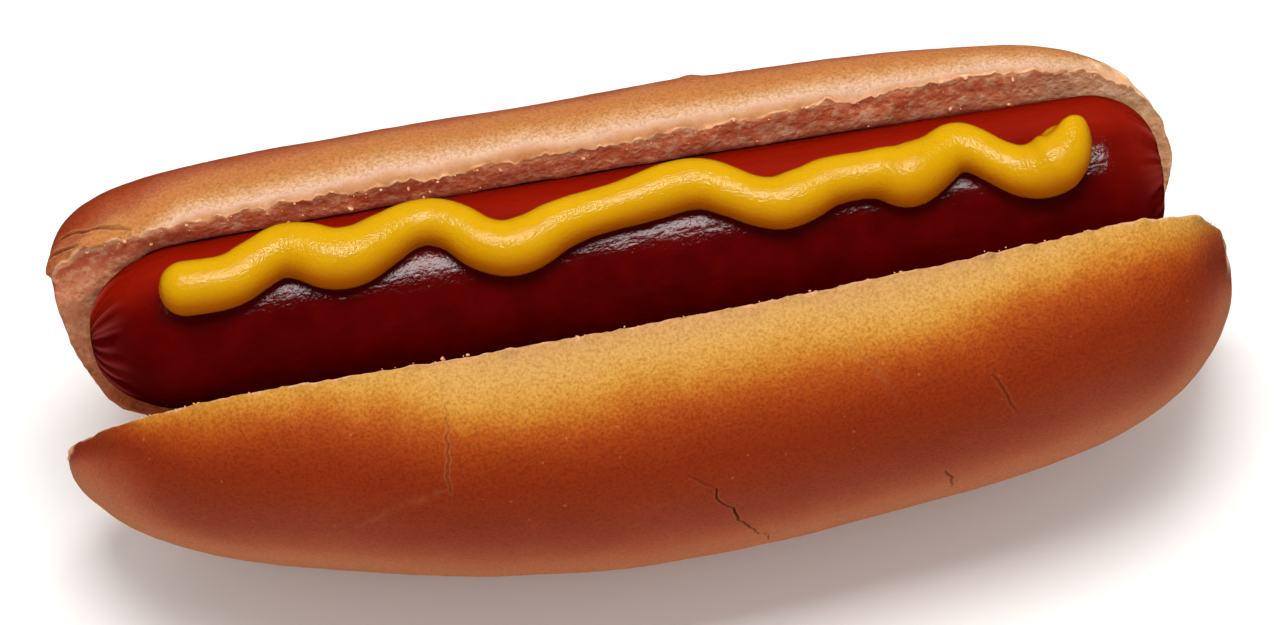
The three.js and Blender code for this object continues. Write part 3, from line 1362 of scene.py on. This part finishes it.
class Paint:
    """Builds the nodes of one material round its Principled shader."""

    def __init__(self, name: str) -> None:
        """Makes an empty material with its shader and output.

        Args:
            name: The material's name.
        """
        self.material = bpy.data.materials.new(name)
        self.material.use_nodes = True
        self.tree = self.material.node_tree
        self.tree.nodes.clear()
        self.shader = self.tree.nodes.new("ShaderNodeBsdfPrincipled")
        output = self.tree.nodes.new("ShaderNodeOutputMaterial")
        self.tree.links.new(self.shader.outputs["BSDF"], output.inputs["Surface"])
        self.coordinates = self.node("ShaderNodeTexCoord", {}, {}).outputs["Object"]

    def feed(self, socket: bpy.types.NodeSocket, value: Any) -> None:
        """Links or sets one input socket.

        Args:
            socket: The socket.
            value: A number, colour, level or other socket.
        """
        if isinstance(value, Level):
            value = value.socket
        if isinstance(value, bpy.types.NodeSocket):
            self.tree.links.new(value, socket)
        else:
            socket.default_value = value

    def node(self, kind: str, settings: dict[str, Any], sockets: dict[Any, Any]) -> bpy.types.Node:
        """Adds any node.

        Args:
            kind: The node's type.
            settings: Its properties; "stops" sets a ramp's places and colours.
            sockets: Its inputs by name or number, as values, levels or sockets.

        Returns:
            The node.
        """
        made = self.tree.nodes.new(kind)
        for name, value in settings.items():
            if name == "stops":
                self._set_stops(made, value)
            else:
                setattr(made, name, value)
        for name, value in sockets.items():
            self.feed(made.inputs[name], value)
        return made

    def _set_stops(self, ramp: bpy.types.Node, stops: Sequence[tuple[float, Colour]]) -> None:
        """Gives a ramp its stops.

        Args:
            ramp: The ramp's node.
            stops: The place and colour of each.
        """
        elements = ramp.color_ramp.elements
        while len(elements) < len(stops):
            elements.new(0.5)
        for element, (place, colour) in zip(elements, stops):
            element.position = place
            element.color = colour

    def attribute(self, name: str) -> Level:
        """Reads a number painted on the mesh."""
        made = self.node("ShaderNodeAttribute", {"attribute_name": name}, {})
        return Level(self, made.outputs["Fac"])

    def speckle(
        self,
        size: float,
        detail: float = 2.0,
        roughness: float = 0.5,
        stretch: tuple[float, float, float] = (1.0, 1.0, 1.0),
    ) -> Level:
        """Noise over the surface.

        Args:
            size: Size of its lumps, in millimetres.
            detail: Octaves of finer noise.
            roughness: How strong those are.
            stretch: Squeezes each axis, so that less than 1 draws lumps out along it.

        Returns:
            The noise, 0 to 1.
        """
        place = self.node(
            "ShaderNodeVectorMath", {"operation": "MULTIPLY"}, {0: self.coordinates, 1: stretch}
        )
        made = self.node(
            "ShaderNodeTexNoise",
            {},
            {
                "Vector": place.outputs[0],
                "Scale": 1 / (size * MM),
                "Detail": detail,
                "Roughness": roughness,
            },
        )
        return Level(self, made.outputs[0])

    def cells(self, size: float) -> Level:
        """Distance to the nearest of scattered points.

        Args:
            size: About how far apart they are, in millimetres.

        Returns:
            The distance, as a share of that.
        """
        made = self.node(
            "ShaderNodeTexVoronoi", {}, {"Vector": self.coordinates, "Scale": 1 / (size * MM)}
        )
        return Level(self, made.outputs["Distance"])

    def ramp(self, level: Level, stops: Sequence[tuple[float, Colour]]) -> bpy.types.NodeSocket:
        """Turns a level into a colour."""
        return self.node("ShaderNodeValToRGB", {"stops": stops}, {"Fac": level}).outputs["Color"]

    def blend(self, share: Any, first: Any, second: Any, way: str = "MIX") -> bpy.types.NodeSocket:
        """Blends two colours.

        Args:
            share: How much of the second.
            first: The first colour or socket.
            second: The second colour or socket.
            way: The blend type.

        Returns:
            The colour socket.
        """
        made = self.node(
            "ShaderNodeMix",
            {"data_type": "RGBA", "blend_type": way, "clamp_factor": True},
            {0: share, 6: first, 7: second},
        )
        return made.outputs[2]

    def bump(self, height: Level, depth: float) -> None:
        """Feeds a bump to the shader.

        Args:
            height: The level that gives its height.
            depth: How deep it is, in millimetres.
        """
        made = self.node(
            "ShaderNodeBump", {}, {"Strength": 1.0, "Distance": depth * MM, "Height": height}
        )
        self.feed(self.shader.inputs["Normal"], made.outputs["Normal"])

    def set(self, **values: Any) -> None:
        """Sets the shader's sockets, named with underscores for spaces."""
        for name, value in values.items():
            self.feed(self.shader.inputs[name.replace("_", " ")], value)


# --- Finishes ---


# How a half is baked: degrees round the section, and the display colour there.
Bake = tuple[tuple[float, int, int, int], ...]


def bake_stops(bake: Bake) -> list[tuple[float, Colour]]:
    """Turns a bake into the stops of a ramp over half a turn."""
    return [(degrees / 180, tint(*colour)) for degrees, *colour in bake]


@dataclass(frozen=True)
class BreadFinish:
    """Baked crust, from pale by the cut edge to brown and to rosy sides, and the crumb inside,
    with painted sheen in the back's cream band and painted light and shade on the crumb.
    """

    front: Bake = (
        (0.0, 200, 150, 92), (8.0, 208, 156, 80), (13.0, 204, 146, 58), (18.0, 192, 118, 32),
        (23.0, 174, 80, 13), (28.0, 157, 59, 5), (34.0, 144, 47, 4), (40.0, 140, 43, 3),
        (50.0, 148, 50, 14), (60.0, 160, 63, 32), (72.0, 180, 86, 50), (84.0, 196, 108, 68),
        (100.0, 202, 120, 80), (130.0, 198, 122, 76), (180.0, 204, 136, 84),
    )
    # The back half's cream band about 5 degrees from the cut edge is partly pale crust and partly
    # painted sheen.
    back: Bake = (
        (0.0, 178, 114, 68), (2.4, 198, 144, 100), (5.0, 218, 176, 150), (8.0, 208, 160, 116),
        (11.0, 194, 134, 78), (14.0, 188, 120, 62), (19.0, 186, 115, 64), (25.0, 168, 88, 52),
        (34.0, 152, 60, 22), (44.0, 144, 48, 10), (60.0, 150, 54, 18), (84.0, 174, 86, 44),
        (110.0, 188, 106, 62), (180.0, 204, 136, 84),
    )
    # The crumb in two painted copies: shaded in the slit, pinkish as if lit by red light from the
    # frankfurter, and pale and lit by the edges and ends.
    shaded_crumb_low: Colour = tint(218, 116, 76)
    shaded_crumb_calm: Colour = tint(176, 84, 54)
    shaded_crumb_high: Colour = tint(240, 192, 150)
    pale_lit_crumb_low: Colour = tint(224, 168, 122)
    pale_lit_crumb_high: Colour = tint(240, 202, 162)
    crack: Colour = tint(84, 26, 10)
    crease: Colour = tint(216, 162, 104)
    shade: Colour = tint(200, 188, 176)

    def make(self) -> bpy.types.Material:
        """Builds the material.

        Returns:
            The bread's material.
        """
        paint = Paint("bread")
        crumb, pale_lit_crumb, calm = (paint.attribute(name) for name in ("crumb", "pale_lit_crumb", "calm"))
        mottle = paint.speckle(8.0, 4.0, 0.6) - 0.5
        fine = paint.speckle(0.42, 3.0, 0.7) - 0.5
        turn = paint.attribute("turn") + mottle * 0.045 + fine * 0.034
        front, back = (paint.ramp(turn, bake_stops(bake)) for bake in (self.front, self.back))
        crust = paint.blend(paint.attribute("back"), front, back)
        shaded = (fine + 0.5).between(0.35, 0.75) * 0.75
        crust = paint.blend(shaded, crust, self.shade, "MULTIPLY")
        freckles = (1 - paint.cells(3.4).between(0.03, 0.08)) * 0.18
        crust = paint.blend(freckles, crust, self.crease)
        crust = paint.blend(paint.attribute("crease") * 0.8, crust, self.crease)
        crust = paint.blend(paint.attribute("crack"), crust, self.crack)
        pores = paint.cells(1.1).between(0.05, 0.55)
        grain = paint.speckle(1.5, 4.0, 0.7)
        flecks = (pores * 0.5 + 0.5) * grain.between(0.44, 0.68) * (1 - calm * 0.6)
        # Painted light and shade on the crumb: the shaded pink copy deep in the slit, the pale lit
        # copy by the cut edges and at the ends.
        dark = paint.blend(calm, self.shaded_crumb_low, self.shaded_crumb_calm)
        dark = paint.blend(pale_lit_crumb, dark, self.pale_lit_crumb_low)
        light = paint.blend(pale_lit_crumb, self.shaded_crumb_high, self.pale_lit_crumb_high)
        paint.set(
            Base_Color=paint.blend(crumb, crust, paint.blend(flecks, dark, light)),
            Roughness=crumb * 0.30 + fine * 0.20 + 0.55,
            Specular_IOR_Level=0.10,
        )
        paint.bump(fine * 0.9 * (1 - crumb * 0.5) + crumb * (grain * 1.0 + pores * 0.4), 0.22)
        return paint.material


@dataclass(frozen=True)
class SkinFinish:
    """Moist red-brown skin with painted sheen on its upper back and right end, duller and paler
    where it is gathered, partly as painted highlight on the pleats.
    """

    deep: Colour = tint(68, 0, 0)
    light: Colour = tint(84, 1, 0)
    # Painted sheen: the lighter red of the skin's upper back and right end.
    painted_sheen: Colour = tint(136, 20, 4)
    # Partly painted highlight: the pinkish pale of the pleats' ridges, besides duller gathered
    # skin.
    dull_pleat_sheen: Colour = tint(168, 66, 62)

    def make(self) -> bpy.types.Material:
        """Builds the material.

        Returns:
            The skin's material.
        """
        paint = Paint("frankfurter_skin")
        mottle = paint.speckle(5.0, 4.0, 0.6)
        fine = paint.speckle(0.6, 3.0, 0.6)
        streaks = paint.speckle(1.0, 3.0, 0.6, stretch=(0.12, 1.0, 1.0))
        dents = paint.speckle(1.5, 2.0, 0.6, stretch=(0.7, 1.0, 1.0))
        colour = paint.blend(mottle.between(0.3, 0.75), self.deep, self.light)
        # Painted sheen over the upper back and the right end.
        colour = paint.blend(paint.attribute("painted_sheen") * (streaks * 0.5 + 0.7), colour, self.painted_sheen)
        # Partly painted highlight on the pleats' ridges.
        wrinkle = paint.attribute("wrinkle")
        colour = paint.blend(wrinkle * 0.5, colour, self.dull_pleat_sheen)
        paint.set(
            Base_Color=colour,
            Roughness=fine * 0.08 + 0.11,
            Specular_IOR_Level=0.30,
        )
        paint.bump(fine * 0.6 + dents * 0.9 + streaks * 0.4, 0.11)
        return paint.material


@dataclass(frozen=True)
class MustardFinish:
    """Smooth wet yellow paste, more orange low on its sides, partly as thin paste by the skin and
    partly as painted shade away from the key lamp.
    """

    main: Colour = tint(197, 146, 2)
    light: Colour = tint(206, 157, 3)
    # Painted shade: orange-brown for the paste's lower side away from the key lamp, and for thin
    # paste by the skin.
    foot_and_shade: Colour = tint(168, 88, 0)

    def make(self) -> bpy.types.Material:
        """Builds the material.

        Returns:
            The paste's material.
        """
        paint = Paint("mustard_paste")
        mottle = paint.speckle(4.0, 3.0, 0.6)
        fine = paint.speckle(0.45, 2.0, 0.6)
        colour = paint.blend(mottle.between(0.35, 0.7) * 0.5, self.main, self.light)
        # The foot colour here is partly painted shade on the paste's lower side.
        colour = paint.blend(paint.attribute("foot_and_shade"), colour, self.foot_and_shade)
        paint.set(
            Base_Color=colour,
            Roughness=fine * 0.10 + 0.10,
            Specular_IOR_Level=0.28,
        )
        paint.bump(fine, 0.13)
        return paint.material


@dataclass(frozen=True)
class FloorFinish:
    """A plain pale floor."""

    colour: Colour = tint(246, 246, 246)

    def make(self) -> bpy.types.Material:
        """Builds the material."""
        paint = Paint("pale_floor")
        paint.set(Base_Color=self.colour, Roughness=0.9, Specular_IOR_Level=0.1)
        return paint.material


# --- Studio ---


@dataclass(frozen=True)
class Lamp:
    """A soft light that faces the object, in metres and watts."""

    name: str
    place: tuple[float, float, float]
    width: float
    depth: float
    power: float
    colour: tuple[float, float, float]
    mirrored: bool = False
    aim_height: float = 0.03

    def hang(self) -> None:
        """Adds it to the scene, hidden from glossy surfaces unless it is mirrored."""
        data = bpy.data.lights.new(self.name, "AREA")
        data.shape = "RECTANGLE"
        data.size, data.size_y = self.width, self.depth
        data.energy = self.power
        data.color = self.colour
        lamp = show(self.name, data)
        lamp.location = Vector(self.place)
        away = lamp.location - Vector((0, 0, self.aim_height))
        lamp.rotation_euler = away.to_track_quat("Z", "Y").to_euler()
        lamp.visible_glossy = self.mirrored


LAMPS = (
    Lamp("key", (0.0, 0.10, 0.72), 0.38, 0.24, 4.5, (1.0, 0.99, 0.97), mirrored=True),
    Lamp("back", (0.10, 0.75, 0.32), 0.50, 0.50, 1.0, (1.0, 0.98, 0.96)),
    Lamp("fill", (-0.10, -0.80, 0.40), 0.60, 0.60, 1.0, (1.0, 0.985, 0.98)),
)


@dataclass
class Studio:
    """Floor, lights and camera.

    The camera's angles are in degrees and its distance in millimetres from where it aims.
    The picture scale is in picture steps for each millimetre there, over a frame FRAME_WIDTH
    wide.
    """

    datum: Datum
    axis_height: float
    elevation: float = 66.04
    azimuth: float = -10.09
    distance: float = 744.7
    picture_scale: float = 7.959
    aim_across: float = 3.32
    aim_down: float = 6.91
    sensor: float = 36.0
    floor_half: float = 3.0
    sky_strength: float = 0.50

    def camera(self) -> None:
        """Adds the camera, at the viewing angle and with its framing."""
        up_turn, side_turn = math.radians(self.elevation), math.radians(self.azimuth)
        back = Vector(
            (
                math.sin(side_turn) * math.cos(up_turn),
                -math.cos(side_turn) * math.cos(up_turn),
                math.sin(up_turn),
            )
        )
        right = Vector((math.cos(side_turn), math.sin(side_turn), 0.0))
        up = back.cross(right)
        aim = Vector((0.0, 0.0, self.axis_height)) + right * self.aim_across - up * self.aim_down
        data = bpy.data.cameras.new("camera")
        data.sensor_width = self.sensor
        data.lens = self.picture_scale * self.distance / FRAME_WIDTH * self.sensor
        data.clip_start = 0.01
        data.clip_end = 20.0
        holder = show("camera", data)
        turn = Matrix((right, up, back)).transposed().to_4x4()
        place = self.datum.place(aim + back * self.distance)
        holder.matrix_world = Matrix.Translation(place) @ turn
        bpy.context.scene.camera = holder

    def floor(self) -> None:
        """Adds the floor."""
        bm = bmesh.new()
        bmesh.ops.create_grid(bm, x_segments=2, y_segments=2, size=self.floor_half)
        floor = show("floor", mesh_from(bm, "floor"))
        floor.data.materials.append(FloorFinish().make())
        floor.visible_glossy = False

    def sky(self) -> None:
        """Adds soft white light from all round."""
        world = bpy.data.worlds.new("studio")
        world.use_nodes = True
        background = world.node_tree.nodes["Background"]
        background.inputs["Color"].default_value = (1.0, 1.0, 1.0, 1.0)
        background.inputs["Strength"].default_value = self.sky_strength
        bpy.context.scene.world = world
        world.cycles_visibility.glossy = False

    def build(self) -> None:
        """Builds the whole studio."""
        self.floor()
        self.sky()
        for lamp in LAMPS:
            lamp.hang()
        self.camera()
        bpy.context.scene.view_settings.view_transform = "Standard"


# --- Putting it together ---


def dress(
    piece: bpy.types.Object, material: bpy.types.Material, nodes: Iterable[str]
) -> None:
    """Gives a piece its finish and its place in the frame.

    Args:
        piece: The piece.
        material: Its finish.
        nodes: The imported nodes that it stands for.
    """
    piece.data.materials.clear()
    piece.data.materials.append(material)
    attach(piece, BODY)
    for node in nodes:
        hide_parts(node)
    triangles = sum(len(face.vertices) - 2 for face in piece.data.polygons)
    LOG.info("%s: %d triangles", piece.name, triangles)


def main() -> None:
    """Builds every piece and the studio."""
    logging.basicConfig(level=logging.INFO, format="%(message)s")
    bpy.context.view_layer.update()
    form = SausageForm()
    datum = Datum.from_sausage(form.left, form.axis_height)
    bread = BreadFinish().make()
    bun = Bun(datum, form)
    for piece, nodes in ((bun.build(), ["bun"]), (Crumbs(datum, bun).build(), [])):
        dress(piece, bread, nodes)
        piece.visible_glossy = False
    dress(Sausage(datum, form).build(), SkinFinish().make(), ["sausage"])
    dress(Mustard(datum, form).build(), MustardFinish().make(), ["mustard"])
    Studio(datum, form.axis_height).build()
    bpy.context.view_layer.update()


if __name__ == "__main__":
    main()
